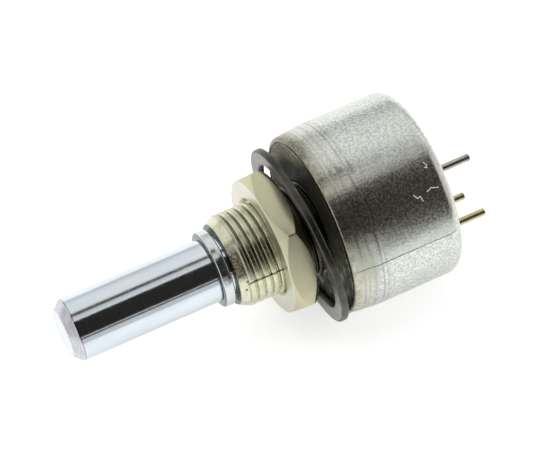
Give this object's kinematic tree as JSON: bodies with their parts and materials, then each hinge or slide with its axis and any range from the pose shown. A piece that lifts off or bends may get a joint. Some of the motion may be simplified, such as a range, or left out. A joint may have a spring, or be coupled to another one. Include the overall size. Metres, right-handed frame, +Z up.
{
  "type": "rotary potentiometer",
  "caption": "Panel-mounted rotary potentiometer: plain round shaft in a threaded bush with nut and toothed lock washer, round metal can and wire pins at the rear.",
  "frame": {"origin": "on the shaft's axis, in the plane of the can's front, where the panel sits", "axes": "-Y along the shaft towards its tip, +Y to the pins, +Z up, +X right seen from the shaft's end"},
  "size_m": [0.0191, 0.0425, 0.019],
  "materials": {
    "shaft_steel": "bright plated steel, drawn along its length",
    "ring_steel": "bright plated spring steel",
    "inner_steel": "plain stamped steel",
    "bush_nickel": "dull nickel plate over turned brass",
    "nut_nickel": "satin champagne nickel plate over brass",
    "washer_black": "black oxide on spring steel, half gloss",
    "can_metal": "satin tin plate with faint turning marks and a fine mottle",
    "black_moulding": "black thermoset moulding, half gloss",
    "black_rubber": "black seal rubber",
    "amber_moulding": "brown thermoset moulding, matt",
    "ceramic": "white fired ceramic, fine matt",
    "track_ink": "black resistive ink, matt",
    "silver_ink": "fired silver ink",
    "contact_metal": "gold-coloured contact alloy, half gloss",
    "rivet_brass": "bright brass",
    "pin_gold": "thin gold plate over wire",
    "pin_tin": "tinned wire",
    "bead": "dark insulating bead, glossy"
  },
  "bodies": {
    "body": {"bushing": "bush_nickel", "hex_nut": "nut_nickel", "lock_washer": "washer_black", "can": "can_metal", "front_plate": "black_moulding", "plate_seal": "black_rubber", "substrate": "ceramic", "resistive_track": "track_ink", "collector_ring": "silver_ink", "end_pads": "silver_ink", "header": "amber_moulding", "end_pin_1": "pin_tin", "end_pin_3": "pin_gold", "wiper_pin_2": "pin_gold", "pin_bead_1": "bead", "pin_bead_3": "bead", "pin_bead_2": "bead"},
    "rotor": {"shaft": "shaft_steel", "retaining_ring": "ring_steel", "shaft_seal": "black_rubber", "thrust_washer": "contact_metal", "stop_arm": "inner_steel", "spring_washer": "inner_steel", "rotor": "amber_moulding", "rotor_clip": "inner_steel", "contact_spring": "contact_metal", "contact_rivets": "rivet_brass"}
  },
  "joints": [
    {"name": "shaft_turn", "type": "hinge", "parent": "body", "child": "rotor", "pos_m": [0, 0, 0], "axis": [0, 1, 0], "range_deg": [-150, 150]}
  ]
}
